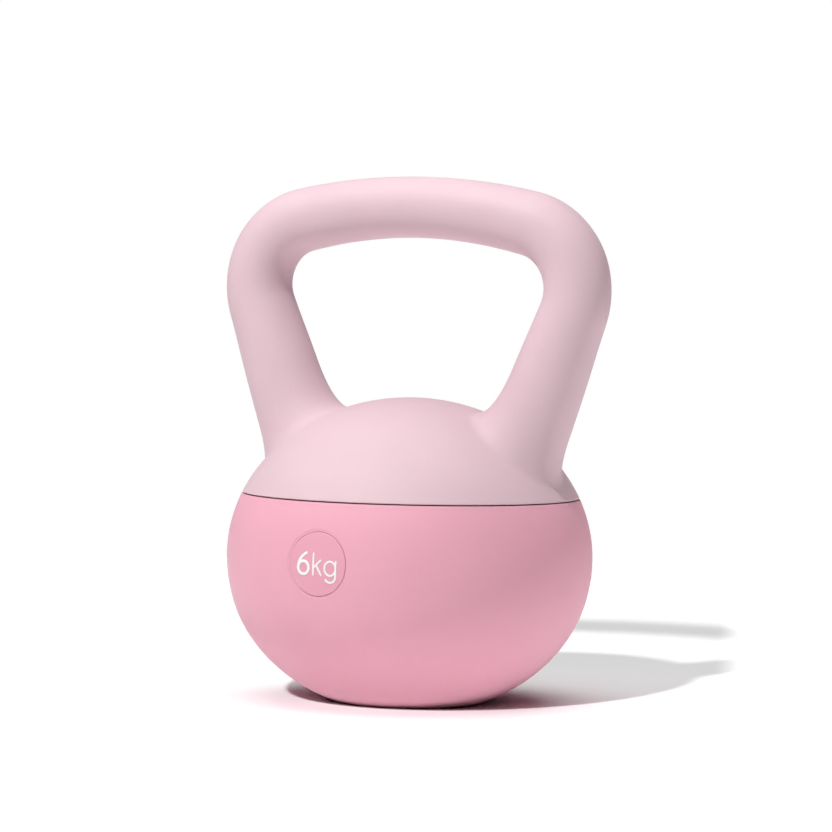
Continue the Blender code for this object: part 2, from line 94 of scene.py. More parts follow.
# Seats behind the skins. The groove holds the gasket, and the ledge is clamped under the anchor plate.
GROOVE_WIDTH = 0.0040
GROOVE_SHOULDER = 0.0008
GROOVE_EASE = 0.0002
LEDGE_REACH = 0.0140
LEG_FOOT_REACH = 0.020
LEG_FOOT_SHARE = 0.8
FLOOR_THICKNESS = 0.006
CUTTER_REACH = 0.003

# Edges of the flat foot, of the hole in it and of the rings.
FOOT_EASE = 0.0012
FOOT_EASE_START = 0.0009
HOLE_EASE = 0.0004
RING_EASE = 0.0004
CAP_EASE = 0.0005
CAP_GROOVE_INSET = 0.0022
CAP_GROOVE_WIDTH = 0.0010
CAP_GROOVE_BEVEL = 0.0002
CAP_GROOVE_DEPTH = 0.0003

# Rolled lips either side of the parting line.
LIP_START = 0.0030
LIP_EASE = 0.0003
LIP_BEAD = 0.00008
BEAD_HEIGHT = 0.0010
BEAD_SPREAD = 0.0006
LIP_DRAFT = 0.00002

# Badge, the shallow ledge round it and its raised weight mark.
BADGE_RADIUS = 0.0148
BADGE_THICKNESS = 0.0016
BADGE_HEIGHT = 0.0703
BADGE_TURN = radians(-1.9)
BADGE_EASE = 0.0003
BADGE_GAP = 0.00012
RECESS_WIDTH = 0.0011
RECESS_DEPTH = 0.00022
RECESS_STEP = 0.0002
MARK_RISE = 0.00022
MARK_THICKNESS = 0.0006
MARK_EASE = 0.00016
MARK_MARGIN = 0.0012
NUMERAL_STROKE = 0.00066
UNIT_STROKE = 0.00046
MARK_TILT = radians(-0.9)

# Mesh resolution.
SKIN_CELL = 0.0013
SKIN_REACH = (0.104, 0.0895)
MARK_CELL = (0.00016, 0.00016, 0.00009)
SIDES = 480
BADGE_SIDES = 160
SMALL_SIDES = 96
LEG_FOOT_SIDES = 64
BORE_SIDES = 48
LIP_STEPS = 14
OUTSIDE_STEPS = 150
INSIDE_STEPS = 40
BADGE_RINGS = 40
ROUND_STEPS = 8
NEWTON_STEPS = 5
MERGE = 0.00012
SMOOTH_ANGLE = radians(35)


# ---- shapes as fields: negative inside, zero on the surface ----


def ball_radius(height, inset=0.0):
    """Radius of the ball at a height, or at an array of them, for a surface inset under the skin."""
    height = np.asarray(height, float)
    upper = height > EQUATOR_HEIGHT
    reach = np.where(upper, DOME_RISE, BOWL_DEPTH) - inset
    power = np.where(upper, 2.0, BOWL_FULLNESS)
    share = np.minimum(np.abs(height - EQUATOR_HEIGHT) / reach, 1.0)
    return (BALL_RADIUS - inset) * (1 - share**power) ** (1 / power)


FOOT = np.array([float(ball_radius(DOME_RIM)) - FOOT_INSET, 0.1073])
LEG_UP = np.array([sin(LEG_LEAN), cos(LEG_LEAN)])
LEG_OUT = np.array([cos(LEG_LEAN), -sin(LEG_LEAN)])
CROWN_CENTRE = np.array([0.0, HANDLE_HEIGHT - GRIP_RADIUS - CROWN_RADIUS])
LEG_START = FOOT - LEG_OUT * CORNER_RADIUS - CROWN_CENTRE
LEG_ALONG = float(LEG_START @ LEG_UP)
LEG_LENGTH = -LEG_ALONG + sqrt(
    LEG_ALONG**2 - float(LEG_START @ LEG_START) + (CROWN_RADIUS - CORNER_RADIUS) ** 2
)
CORNER_CENTRE = FOOT - LEG_OUT * CORNER_RADIUS + LEG_UP * LEG_LENGTH
CROWN_OUT = (CORNER_CENTRE - CROWN_CENTRE) / np.linalg.norm(CORNER_CENTRE - CROWN_CENTRE)
CORNER_SWEEP = atan2(CROWN_OUT[1], CROWN_OUT[0]) - atan2(LEG_OUT[1], LEG_OUT[0])
CROWN_SWEEP = pi / 2 - atan2(CROWN_OUT[1], CROWN_OUT[0])
CORNER_LENGTH = CORNER_SWEEP * CORNER_RADIUS
BEND_LENGTH = CORNER_LENGTH + CROWN_SWEEP * CROWN_RADIUS


def on_arc(flat, centre, radius, start, sweep):
    """Nearest points of an arc in the handle's plane, and how far along its sweep each one is."""
    offset = flat - centre
    along = offset @ start
    side = offset @ np.array([-start[1], start[0]])
    angle = np.clip(np.arctan2(side, along), 0, sweep)
    base = atan2(start[1], start[0])
    nearest = centre + radius * np.stack([np.cos(base + angle), np.sin(base + angle)], -1)
    return nearest, angle


def bend_size(distance):
    share = np.clip(distance / BEND_LENGTH, 0, 1)
    return LEG_RADIUS + (GRIP_RADIUS - LEG_RADIUS) * share * share * (3 - 2 * share)


def flare(travel):
    """Extra radius of the leg at a distance up from its foot: a parabola, then a run-out of the same slope."""
    share = travel / LEG_LENGTH
    left = 1 - FLARE_TURN**2
    run = left / FLARE_TURN
    fade = left * (np.clip(FLARE_TURN + run - share, 0, run) / run) ** 2
    return ROOT_FLARE * np.where(share < FLARE_TURN, 1 - np.maximum(share, 0) ** 2, fade)


def handle_distance(points):
    """Distance to the handle's skin, and the direction away from its centre line."""
    flat = np.stack([np.abs(points[:, 0]), points[:, 2]], -1)
    travel = np.clip((flat - FOOT) @ LEG_UP, -0.02, LEG_LENGTH)
    options = [(FOOT + travel[:, None] * LEG_UP, LEG_RADIUS + flare(travel))]
    nearest, angle = on_arc(flat, CORNER_CENTRE, CORNER_RADIUS, LEG_OUT, CORNER_SWEEP)
    options.append((nearest, bend_size(angle * CORNER_RADIUS) + flare(LEG_LENGTH + angle * CORNER_RADIUS)))
    nearest, angle = on_arc(flat, CROWN_CENTRE, CROWN_RADIUS, CROWN_OUT, CROWN_SWEEP)
    options.append((nearest, bend_size(CORNER_LENGTH + angle * CROWN_RADIUS)))
    distance = np.full(len(points), np.inf)
    away = np.zeros((len(points), 3))
    turn = np.where(points[:, 0] < 0, -1.0, 1.0)
    for nearest, size in options:
        offset = np.stack([flat[:, 0] - nearest[:, 0], points[:, 1], flat[:, 1] - nearest[:, 1]], -1)
        length = np.linalg.norm(offset, axis=1)
        better = length - size < distance
        distance = np.where(better, length - size, distance)
        offset[:, 0] *= turn
        away = np.where(better[:, None], offset / np.maximum(length, 1e-9)[:, None], away)
    return distance, away


def dome_distance(points):
    """Distance to the dome's skin, and the direction away from it."""
    slope = (points - [0, 0, EQUATOR_HEIGHT]) / [BALL_RADIUS**2, BALL_RADIUS**2, DOME_RISE**2]
    level = np.sqrt(np.maximum(np.sum(slope * (points - [0, 0, EQUATOR_HEIGHT]), axis=1), 1e-9))
    steep = np.linalg.norm(slope, axis=1)
    return (level - 1) * level / np.maximum(steep, 1e-9), slope / np.maximum(steep, 1e-9)[:, None]


def upper_field(points):
    """Dome and handle melted into each other, the fillet running further up the leg than over the dome."""
    leg, leg_away = handle_distance(points)
    dome, dome_away = dome_distance(points)
    dome = dome / FILLET_RUN
    reach = ROOT_FILLET * (1 - np.clip(np.sum(leg_away * dome_away, axis=1), -0.8, 0.8))
    near = np.maximum(reach - np.abs(leg - dome), 0)
    return np.minimum(leg, dome) - near * near / (4 * reach)


def in_parts(field, points):
    """The field's values, worked out a slab at a time."""
    return np.concatenate([field(part) for part in np.array_split(points, max(1, len(points) // 200000))])


def net(field, low, high, cell):
    """Points and quads of the field's surface in a box, found on a grid and then pulled onto the surface."""
    low, high, cell = (np.array(each, float) for each in (low, high, cell))
    counts = np.ceil((high - low) / cell).astype(int) + 1
    axes = [low[axis] + cell[axis] * np.arange(counts[axis]) for axis in range(3)]
    grid = np.stack(np.meshgrid(*axes, indexing="ij"), -1)
    values = in_parts(field, grid.reshape(-1, 3)).reshape(counts)
    inside = values < 0
    total = np.zeros(counts - 1, int)
    for corner in itertools.product((0, 1), repeat=3):
        total += inside[tuple(slice(c, c + n - 1) for c, n in zip(corner, counts))]
    cells = np.argwhere((total > 0) & (total < 8))
    number = np.full(counts - 1, -1)
    number[tuple(cells.T)] = np.arange(len(cells))
    points = np.zeros((len(cells), 3))
    hits = np.zeros(len(cells))
    for axis in range(3):
        for others in itertools.product((0, 1), repeat=2):
            start = np.insert(np.array(others), axis, 0)
            end = np.insert(np.array(others), axis, 1)
            first = values[tuple((cells + start).T)]
            second = values[tuple((cells + end).T)]
            crossed = (first < 0) != (second < 0)
            share = np.where(crossed, first / np.where(crossed, first - second, 1), 0)
            points += np.where(crossed[:, None], start + share[:, None] * (end - start), 0)
            hits += crossed
    points = low + (cells + points / hits[:, None]) * cell
    quads = []
    for axis in range(3):
        one, two = (axis + 1) % 3, (axis + 2) % 3
        near = [slice(1, n - 1) for n in counts]
        near[axis] = slice(0, counts[axis] - 1)
        far = list(near)
        far[axis] = slice(1, counts[axis])
        near, far = inside[tuple(near)], inside[tuple(far)]
        offset = np.ones(3, int)
        offset[axis] = 0
        for crossing, order in ((near & ~far, 1), (~near & far, -1)):
            places = np.argwhere(crossing) + offset
            ring = []
            for back_one, back_two in ((1, 1), (0, 1), (0, 0), (1, 0))[::order]:
                step = np.zeros(3, int)
                step[one] = -back_one
                step[two] = -back_two
                ring.append(number[tuple((places + step).T)])
            quads.append(np.stack(ring, -1))
    quads = np.concatenate(quads)
    small = float(cell.min()) * 0.01
    for _ in range(NEWTON_STEPS):
        value = in_parts(field, points)
        slope = np.zeros_like(points)
        for axis in range(3):
            step = np.zeros(3)
            step[axis] = small
            slope[:, axis] = (in_parts(field, points + step) - in_parts(field, points - step)) / (2 * small)
        move = slope * (value / np.maximum(np.sum(slope * slope, axis=1), 1e-9))[:, None]
        length = np.linalg.norm(move, axis=1)
        points -= move * np.minimum(1, cell.min() / np.maximum(length, 1e-12))[:, None]
    return points, quads[(quads >= 0).all(axis=1)]


# ---- mesh helpers ----


def finish(name, built, surface, rides=True):
    """Make a piece of a bmesh, smooth except at its real edges. A tool or a stage piece rides on nothing."""
    bmesh.ops.recalc_face_normals(built, faces=built.faces)
    mesh = bpy.data.meshes.new(name)
    built.to_mesh(mesh)
    built.free()
    mesh.shade_smooth()
    mesh.set_sharp_from_angle(angle=SMOOTH_ANGLE)
    made = bpy.data.objects.new(name, mesh)
    bpy.context.scene.collection.objects.link(made)
    made.data.materials.append(surface)
    if rides:
        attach(made, "root")
    return made


def turned(name, outline, sides, surface):
    """Spin an outline of (radius, height) points round the Z axis; points on the axis become one point."""
    built = bmesh.new()
    rows = []
    for radius, height in outline:
        if radius < 1e-7:
            rows.append([built.verts.new((0, 0, height))])
            continue
        angles = [2 * pi * side / sides for side in range(sides)]
        rows.append([built.verts.new((radius * cos(angle), radius * sin(angle), height)) for angle in angles])
    closed = outline[0][0] > 1e-7
    for first, second in zip(rows, rows[1:] + (rows[:1] if closed else [])):
        for side in range(sides):
            after = (side + 1) % sides
            loop = [first[side % len(first)], first[after % len(first)]]
            loop += [second[after % len(second)], second[side % len(second)]]
            loop = list(dict.fromkeys(loop))
            if len(loop) > 2:
                built.faces.new(loop)
    return finish(name, built, surface)


def skinned(name, rings, surface, rides=True):
    """Join rings of points into one solid, capped at both ends."""
    built = bmesh.new()
    rows = [[built.verts.new(point) for point in ring] for ring in rings]
    for ring in (rows[0], rows[-1]):
        built.faces.new(ring)
    for low, high in zip(rows, rows[1:]):
        for side in range(len(low)):
            after = (side + 1) % len(low)
            built.faces.new((low[side], low[after], high[after], high[side]))
    return finish(name, built, surface, rides)


def carve(target, tool, operation="DIFFERENCE"):
    """Apply a Boolean with a tool shape, then remove the tool."""
    step = target.modifiers.new("carve", "BOOLEAN")
    step.operation = operation
    step.solver = "EXACT"
    step.object = tool
    graph = bpy.context.evaluated_depsgraph_get()
    made = bpy.data.meshes.new_from_object(target.evaluated_get(graph))
    target.modifiers.clear()
    target.data = made
    bpy.data.objects.remove(tool)
    made.shade_smooth()
    made.set_sharp_from_angle(angle=SMOOTH_ANGLE)


def eased(corner, start, end, radius, steps=6):
    """Points of a small round at an outline's corner, between the points before and after it."""
    corner, start, end = (np.array(each, float) for each in (corner, start, end))
    into = (corner - start) / np.linalg.norm(corner - start)
    out = (end - corner) / np.linalg.norm(end - corner)
    points = []
    for step in range(steps + 1):
        share = step / steps
        first = corner - into * radius * (1 - share)
        second = corner + out * radius * share
        points.append(tuple(first * (1 - share) + second * share))
    return points


# ---- materials ----


class Graph:
    """A material's node tree, with short ways to add its nodes."""

    def __init__(self, name):
        self.material = bpy.data.materials.new(name)
        self.material.use_nodes = True
        self.tree = self.material.node_tree
        self.surface = self.tree.nodes["Principled BSDF"]
        self.place = self.node("ShaderNodeTexCoord").outputs["Object"]

    def node(self, kind, settings=None, **inputs):
        made = self.tree.nodes.new(kind)
        for key, value in (settings or {}).items():
            setattr(made, key, value)
        for key, value in inputs.items():
            self.put(made.inputs[key.replace("_", " ")], value)
        return made

    def put(self, socket, value):
        if isinstance(value, bpy.types.NodeSocket):
            self.tree.links.new(value, socket)
        else:
            socket.default_value = value

    def noise(self, scale, detail=3.0, rough=0.55, warp=0.0):
        made = self.node("ShaderNodeTexNoise", Vector=self.place, Scale=scale, Detail=detail)
        made.inputs["Roughness"].default_value = rough
        made.inputs["Distortion"].default_value = warp
        return made.outputs["Fac"]

    def cells(self, scale, smooth=0.6):
        made = self.node("ShaderNodeTexVoronoi", {"feature": "SMOOTH_F1"}, Vector=self.place, Scale=scale)
        made.inputs["Smoothness"].default_value = smooth
        return made.outputs["Distance"]

    def range(self, value, low, high, to_low=0.0, to_high=1.0):
        made = self.node("ShaderNodeMapRange", {"interpolation_type": "SMOOTHSTEP"}, Value=value)
        for key, number in (("From Min", low), ("From Max", high), ("To Min", to_low), ("To Max", to_high)):
            made.inputs[key].default_value = number
        return made.outputs["Result"]

    def math(self, kind, first, second):
        made = self.node("ShaderNodeMath", {"operation": kind})
        self.put(made.inputs[0], first)
        self.put(made.inputs[1], second)
        return made.outputs["Value"]

    def blend(self, share, first, second):
        made = self.node("ShaderNodeMix", {"data_type": "RGBA"})
        self.put(made.inputs["Factor"], share)
        for socket, value in ((made.inputs[6], first), (made.inputs[7], second)):
            self.put(socket, value if isinstance(value, bpy.types.NodeSocket) else (*value, 1.0))
        return made.outputs[2]

    def height(self):
        return self.node("ShaderNodeSeparateXYZ", Vector=self.place).outputs["Z"]

    def bump(self, height, distance, strength=1.0, under=None):
        made = self.node("ShaderNodeBump", Height=height, Distance=distance, Strength=strength)
        if under:
            self.put(made.inputs["Normal"], under)
        return made.outputs["Normal"]

    def set(self, **inputs):
        for key, value in inputs.items():
            socket = self.surface.inputs[key.replace("_", " ")]
            self.put(socket, (*value, 1.0) if isinstance(value, tuple) else value)
        return self.material


def shade(colour, amount):
    return tuple(min(1.0, channel * amount) for channel in colour)


def soft_skin(name, colour, worn, grain, grain_depth, rough):
    """Soft-touch moulded skin: fine pebbled grain, faint mottling, and scuffs low down."""
    graph = Graph(name)
    mottle = graph.noise(14, 4, 0.5, 0.4)
    speck = graph.noise(900, 2)
    tone = graph.blend(graph.range(mottle, 0.3, 0.7), shade(colour, 0.975), shade(colour, 1.02))
    tone = graph.blend(graph.range(speck, 0.35, 0.75, 0, 0.12), tone, shade(colour, 0.9))
    height = graph.height()
    scuffs = graph.range(graph.noise(160, 5, 0.7), 0.5, 0.68)
    low = graph.math("MULTIPLY", graph.range(height, 0.016, 0.001), scuffs)
    tone = graph.blend(graph.math("MULTIPLY", low, 0.30), tone, worn)
    pebbles = graph.bump(graph.cells(grain), grain_depth)
    pores = graph.bump(graph.noise(grain * 2.3, 3, 0.6), grain_depth * 0.5, under=pebbles)
    waves = graph.bump(graph.noise(60, 2), 0.00006, under=pores)
    finish_map = graph.range(graph.noise(35, 5, 0.6, 0.6), 0.3, 0.72, rough - 0.03, rough + 0.05)
    finish_map = graph.math("ADD", finish_map, graph.math("MULTIPLY", low, 0.12))
    grip = graph.range(height, 0.215, 0.245, 0, -0.05)
    graph.set(Base_Color=tone, Roughness=graph.math("ADD", finish_map, grip), Normal=waves)
    surface = graph.surface.inputs
    surface["Specular IOR Level"].default_value = 0.3
    surface["Sheen Weight"].default_value = 0.12
    surface["Sheen Roughness"].default_value = 0.45
    surface["Subsurface Weight"].default_value = 0.10
    surface["Subsurface Radius"].default_value = (0.9, 0.45, 0.45)
    surface["Subsurface Scale"].default_value = 0.003
    return graph.material


def flat_finish(name, colour, worn, rough, metallic=0.0, grain=400, grain_depth=0.00002, brushed=False):
    """Inner pieces: steel, plastic, rubber or sand, with grain, patches and handling marks."""
    graph = Graph(name)
    patch = graph.range(graph.noise(45, 5, 0.6, 0.8), 0.4, 0.7)
    speck = graph.range(graph.noise(grain * 2, 2), 0.5, 0.8, 0, 0.35)
    tone = graph.blend(graph.math("MULTIPLY", patch, 0.5), colour, worn)
    tone = graph.blend(speck, tone, shade(colour, 0.8))
    if brushed:
        stretch = graph.node("ShaderNodeMapping", Vector=graph.place, Scale=(1, 1, 24)).outputs["Vector"]
        lines = graph.node("ShaderNodeTexNoise", Vector=stretch, Scale=260, Detail=4).outputs["Fac"]
    else:
        lines = graph.cells(grain)
    relief = graph.bump(lines, grain_depth)
    relief = graph.bump(graph.noise(grain * 1.7, 4, 0.65), grain_depth * 0.6, under=relief)
    spread = graph.range(graph.noise(90, 4, 0.6, 0.5), 0.3, 0.7, rough - 0.08, rough + 0.1)
    graph.set(Base_Color=tone, Roughness=spread, Normal=relief)
    graph.surface.inputs["Metallic"].default_value = metallic
    return graph.material


light_pink = soft_skin(
    "light_pink_skin", (0.664, 0.476, 0.528), (0.50, 0.40, 0.42), grain=1150, grain_depth=0.000035, rough=0.62
)
deep_pink = soft_skin(
    "deep_pink_skin", (0.770, 0.373, 0.470), (0.57, 0.36, 0.41), grain=1150, grain_depth=0.000035, rough=0.62
)
badge_pink = soft_skin(
    "badge_pink_skin", (0.750, 0.348, 0.445), (0.57, 0.36, 0.41), grain=1900, grain_depth=0.000015, rough=0.6
)
mark_white = flat_finish(
    "white_mark_ink", (0.87, 0.88, 0.87), (0.80, 0.80, 0.79), 0.42, grain=1500, grain_depth=0.00001
)
# Dark reddish rubber for the gasket and the plug washer. In the parting line this colour is partly painted
# shade of the groove.
dark_rubber_and_seam_shade = flat_finish("gasket_rubber_and_seam_shade", (0.075, 0.030, 0.035), (0.10, 0.05, 0.055), 0.7, grain=900)
steel = flat_finish(
    "zinc_plated_steel", (0.56, 0.57, 0.59), (0.47, 0.47, 0.46), 0.34, 1.0,
    grain=260, grain_depth=0.00003, brushed=True,
)
plastic = flat_finish("natural_tub_plastic", (0.70, 0.69, 0.66), (0.62, 0.60, 0.56), 0.48, grain=700)
sand = flat_finish(
    "packed_iron_sand", (0.085, 0.075, 0.072), (0.14, 0.085, 0.06), 0.85, 0.25, grain=1300, grain_depth=0.0004
)


# ---- upper shell: dome and handle in one skin ----


def outer_skin():
    """The skin above the parting line as a bmesh, and its lower edge as a loop of points in order."""
    reach_x, reach_y = SKIN_REACH
    low = (-reach_x, -reach_y, DOME_RIM - 2.2 * SKIN_CELL)
    high = (reach_x, reach_y, HANDLE_HEIGHT + 2 * SKIN_CELL)
    points, quads = net(upper_field, low, high, (SKIN_CELL,) * 3)
    mesh = bpy.data.meshes.new("skin")
    mesh.from_pydata(points.tolist(), [], quads.tolist())
    built = bmesh.new()
    built.from_mesh(mesh)
    bpy.data.meshes.remove(mesh)
    cut = DOME_RIM + LIP_START
    everything = list(built.verts) + list(built.edges) + list(built.faces)
    bmesh.ops.bisect_plane(
        built, geom=everything, dist=1e-6, plane_co=(0, 0, cut), plane_no=(0, 0, 1), clear_inner=True
    )
    bmesh.ops.remove_doubles(built, verts=built.verts, dist=MERGE)
    edges = [edge for edge in built.edges if len(edge.link_faces) == 1]
    loop = sorted({vert for edge in edges for vert in edge.verts}, key=lambda v: atan2(v.co.y, v.co.x))
    radius = float(ball_radius(cut))
    for vert in loop:
        vert.co = Vector((vert.co.x, vert.co.y, 0)).normalized() * radius + Vector((0, 0, cut))
    return built, loop


def lip_outline(rim, sign, start):
    """Outer skin beside the parting line: a low bead, then a rounded edge that turns in to the rim."""
    points = []
    for step in range(1, LIP_STEPS + 1):
        away = start + (LIP_EASE - start) * step / LIP_STEPS
        height = rim + sign * away
        bead = LIP_BEAD * np.exp(-(((away - BEAD_HEIGHT) / BEAD_SPREAD) ** 2))
        points.append((float(ball_radius(height) + bead), height))
    corner = (points[-1][0] - LIP_DRAFT, rim)
    points += eased(corner, points[-1], (corner[0] - 1, rim), LIP_EASE)[1:]
    return points


def ring_radii():
    """Radii of the groove and ledge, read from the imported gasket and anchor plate."""
    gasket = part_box("seam_gasket")
    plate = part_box("anchor_plate")
    return gasket[1].x + FIT, gasket[1].z + FIT, plate[0].z, plate[1].x


GROOVE_OUTER, GROOVE_TOP, PLATE_BOTTOM, PLATE_RADIUS = ring_radii()
GROOVE_INNER = GROOVE_OUTER - GROOVE_WIDTH
LEDGE_TOP = PLATE_BOTTOM - FIT
LEDGE_RADIUS = PLATE_RADIUS - LEDGE_REACH


def inner_outline():
    """From the lip inwards: the gasket's groove, the bolted ledge and the inside of the dome."""
    corner = (GROOVE_OUTER, DOME_RIM)
    points = eased(corner, (GROOVE_OUTER + 1, DOME_RIM), (GROOVE_OUTER, GROOVE_TOP), GROOVE_EASE, 3)
    points += [(GROOVE_OUTER, GROOVE_TOP), (GROOVE_INNER, GROOVE_TOP), (GROOVE_INNER, DOME_RIM)]
    points += [(LEDGE_RADIUS, DOME_RIM), (LEDGE_RADIUS, LEDGE_TOP)]
    top = BALL_TOP - DOME_WALL
    for step in range(INSIDE_STEPS):
        share = step / INSIDE_STEPS
        height = LEDGE_TOP + (top - LEDGE_TOP) * sin(share * pi / 2)
        points.append((float(ball_radius(height, DOME_WALL)), height))
    return points, top


def handle_line(steps=14):
    """Centre line of the handle's right half in its plane, with the outward direction at each point."""
    pairs = [(FOOT + LEG_UP * LEG_LENGTH * share, LEG_OUT) for share in (0, 0.5, 1)]
    for centre, radius, start, sweep in (
        (CORNER_CENTRE, CORNER_RADIUS, LEG_OUT, CORNER_SWEEP),
        (CROWN_CENTRE, CROWN_RADIUS, CROWN_OUT, CROWN_SWEEP),
    ):
        base = atan2(start[1], start[0])
        for step in range(1, steps + 1):
            angle = base + sweep * step / steps
            outward = np.array([cos(angle), sin(angle)])
            pairs.append((centre + outward * radius, outward))
    return pairs


def handle_ring(centre, outward, radius, sides):
    points = []
    for side in range(sides):
        angle = 2 * pi * side / sides
        flat = centre + outward * radius * cos(angle)
        points.append(Vector((flat[0], radius * sin(angle), flat[1])))
    return points


def level_ring(points, height):
    """The ring slid along the leg until it lies flat at a height."""
    slide = Vector((LEG_UP[0], 0, LEG_UP[1]))
    return [point + slide * ((height - point.z) / slide.z) for point in points]


def mirrored(rings):
    return rings + [[Vector((-p.x, p.y, p.z)) for p in ring] for ring in rings[:-1]][::-1]


def add_upper_shell():
    built, loop = outer_skin()
    inside, top = inner_outline()
    row = loop
    for radius, height in lip_outline(DOME_RIM, 1, LIP_START) + inside:
        turns = [Vector((vert.co.x, vert.co.y, 0)).normalized() for vert in row]
        after = [built.verts.new(turn * radius + Vector((0, 0, height))) for turn in turns]
        for side in range(len(row)):
            other = (side + 1) % len(row)
            built.faces.new((row[side], after[side], after[other], row[other]))
        row = after
    pole = built.verts.new((0, 0, top))
    for side in range(len(row)):
        built.faces.new((row[side], pole, row[(side + 1) % len(row)]))
    shell = finish("upper_shell_skin", built, light_pink)
    open_for_core(shell)
    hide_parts("upper_shell")


def open_for_core(shell):
    """Leg feet inside the dome, then the bore for the steel core and the seats for its collars."""
    plate_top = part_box("anchor_plate")[1].z
    radius = LEG_RADIUS + ROOT_FLARE * LEG_FOOT_SHARE
    for side in (-1, 1):
        rings = [handle_ring(FOOT + LEG_UP * LEG_FOOT_REACH * share, LEG_OUT, radius, LEG_FOOT_SIDES)
                 for share in (0, 0.5, 1)]
        rings[0] = level_ring(rings[0], plate_top + FIT)
        rings = [[Vector((side * p.x, p.y, p.z)) for p in ring] for ring in rings]
        carve(shell, skinned("foot_tool", rings, light_pink, rides=False), "UNION")
    bore = [handle_ring(centre, outward, CORE_BORE, BORE_SIDES) for centre, outward in handle_line()]
    bore[0] = level_ring(bore[0], plate_top)
    carve(shell, skinned("bore_tool", mirrored(bore), light_pink, rides=False))
    for side in (-1, 1):
        seat = [handle_ring(FOOT + LEG_UP * distance, LEG_OUT, COLLAR_SEAT, BORE_SIDES)
                for distance in (0, COLLAR_LENGTH)]
        seat[0] = level_ring(seat[0], plate_top)
        seat = [[Vector((side * p.x, p.y, p.z)) for p in ring] for ring in seat]
        carve(shell, skinned("seat_tool", seat, light_pink, rides=False))


# ---- lower shell: soft bowl, foot, badge recess ----


def bowl_arc(start, end, inset, steps):
    """Outline points along the bowl between two heights, evenly spaced in angle."""
    above, below = DOME_RISE - inset, BOWL_DEPTH - inset
    rises = [height - EQUATOR_HEIGHT for height in (start, end)]
    first, last = (np.arcsin(rise / (above if rise > 0 else below)) for rise in rises)
    points = []
    for step in range(steps + 1):
        angle = first + (last - first) * step / steps
        rise = above if angle > 0 else below
        height = EQUATOR_HEIGHT + rise * sin(angle)
        points.append((float(ball_radius(height, inset)), height))
    return points


def add_lower_shell():
    foot = float(ball_radius(0.0))
    outline = lip_outline(BOWL_RIM, -1, LIP_START)[::-1]
    outline += bowl_arc(BOWL_RIM - LIP_START, FOOT_EASE_START, 0, OUTSIDE_STEPS)
    outline += eased((foot, 0), outline[-1], (0, 0), FOOT_EASE, 6)[1:]
    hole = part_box("base_cap")[1].x + FIT
    outline += eased((hole, 0), (foot, 0), (hole, 1), HOLE_EASE, 3)
    outline += [(hole, FLOOR_THICKNESS)]
    lip_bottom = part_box("sand_canister")[1].z + FIT
    outline += bowl_arc(FLOOR_THICKNESS, lip_bottom, BOWL_WALL, INSIDE_STEPS)
    shoulder = GROOVE_INNER - GROOVE_SHOULDER
    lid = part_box("canister_lid")[1].x + FIT
    outline += [(min(lid, shoulder), lip_bottom), (shoulder, BOWL_RIM)]
    bowl = turned("lower_shell_skin", outline, SIDES, deep_pink)
    seat = BADGE_RADIUS + BADGE_GAP
    levels = [(seat * share, BADGE_THICKNESS + FIT) for share in (0.25, 0.5, 0.75, 1)]
    levels.append((seat, RECESS_DEPTH + RECESS_STEP))
    levels += [(seat + RECESS_STEP, RECESS_DEPTH), (seat + RECESS_WIDTH, RECESS_DEPTH * 0.8)]
    edge = seat + RECESS_WIDTH + RECESS_STEP
    levels += [(edge, 0), (edge, -CUTTER_REACH), (seat / 2, -CUTTER_REACH)]
    carve(bowl, skinned("badge_tool", badge_rings(levels), deep_pink, rides=False))
    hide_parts("lower_shell")


def badge_point(across, up, rise):
    """Point on the bowl's front at a place on the badge, a distance above the skin."""
    height = BADGE_HEIGHT + up
    depth = np.sqrt(ball_radius(height, -rise) ** 2 - across**2)
    turned_across = across * cos(BADGE_TURN) + depth * sin(BADGE_TURN)
    turned_depth = depth * cos(BADGE_TURN) - across * sin(BADGE_TURN)
    return np.stack([turned_across, -turned_depth, height], -1)


def badge_rings(levels):
    """Rings of points round the badge's centre, from (radius, inset) levels."""
    angles = 2 * pi * np.arange(BADGE_SIDES) / BADGE_SIDES
    across, up = np.cos(angles), np.sin(angles)
    return [badge_point(radius * across, radius * up, np.full(BADGE_SIDES, -inset)).tolist()
            for radius, inset in levels]


def add_badge():
    levels = [(BADGE_RADIUS * share, BADGE_THICKNESS) for share in (0.02, 0.5, 1)]
    levels.append((BADGE_RADIUS, BADGE_EASE))
    for step in range(1, ROUND_STEPS + 1):
        turn = step / ROUND_STEPS * pi / 2
        levels.append((BADGE_RADIUS - BADGE_EASE * (1 - cos(turn)), BADGE_EASE * (1 - sin(turn))))
    levels += [((BADGE_RADIUS - BADGE_EASE) * share, 0) for share in np.linspace(0.97, 0.01, BADGE_RINGS)]
    badge = skinned("badge_face", badge_rings(levels), badge_pink)
    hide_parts("weight_badge")


def bow(start, middle, end, steps=16):
    """Points along a curve that leaves one point and reaches another, drawn towards a middle point."""
    points = []
    for step in range(steps + 1):
        share = step / steps
        points.append([(1 - share) ** 2 * a + 2 * share * (1 - share) * b + share**2 * c
                       for a, b, c in zip(start, middle, end)])
    return points


def loop_of(centre, wide, tall, start=0.0, sweep=2 * pi, steps=40):
    """Points along an ellipse, or along a share of it."""
    angles = [start + sweep * step / steps for step in range(steps + 1)]
    return [[centre[0] + wide * cos(angle), centre[1] + tall * sin(angle)] for angle in angles]


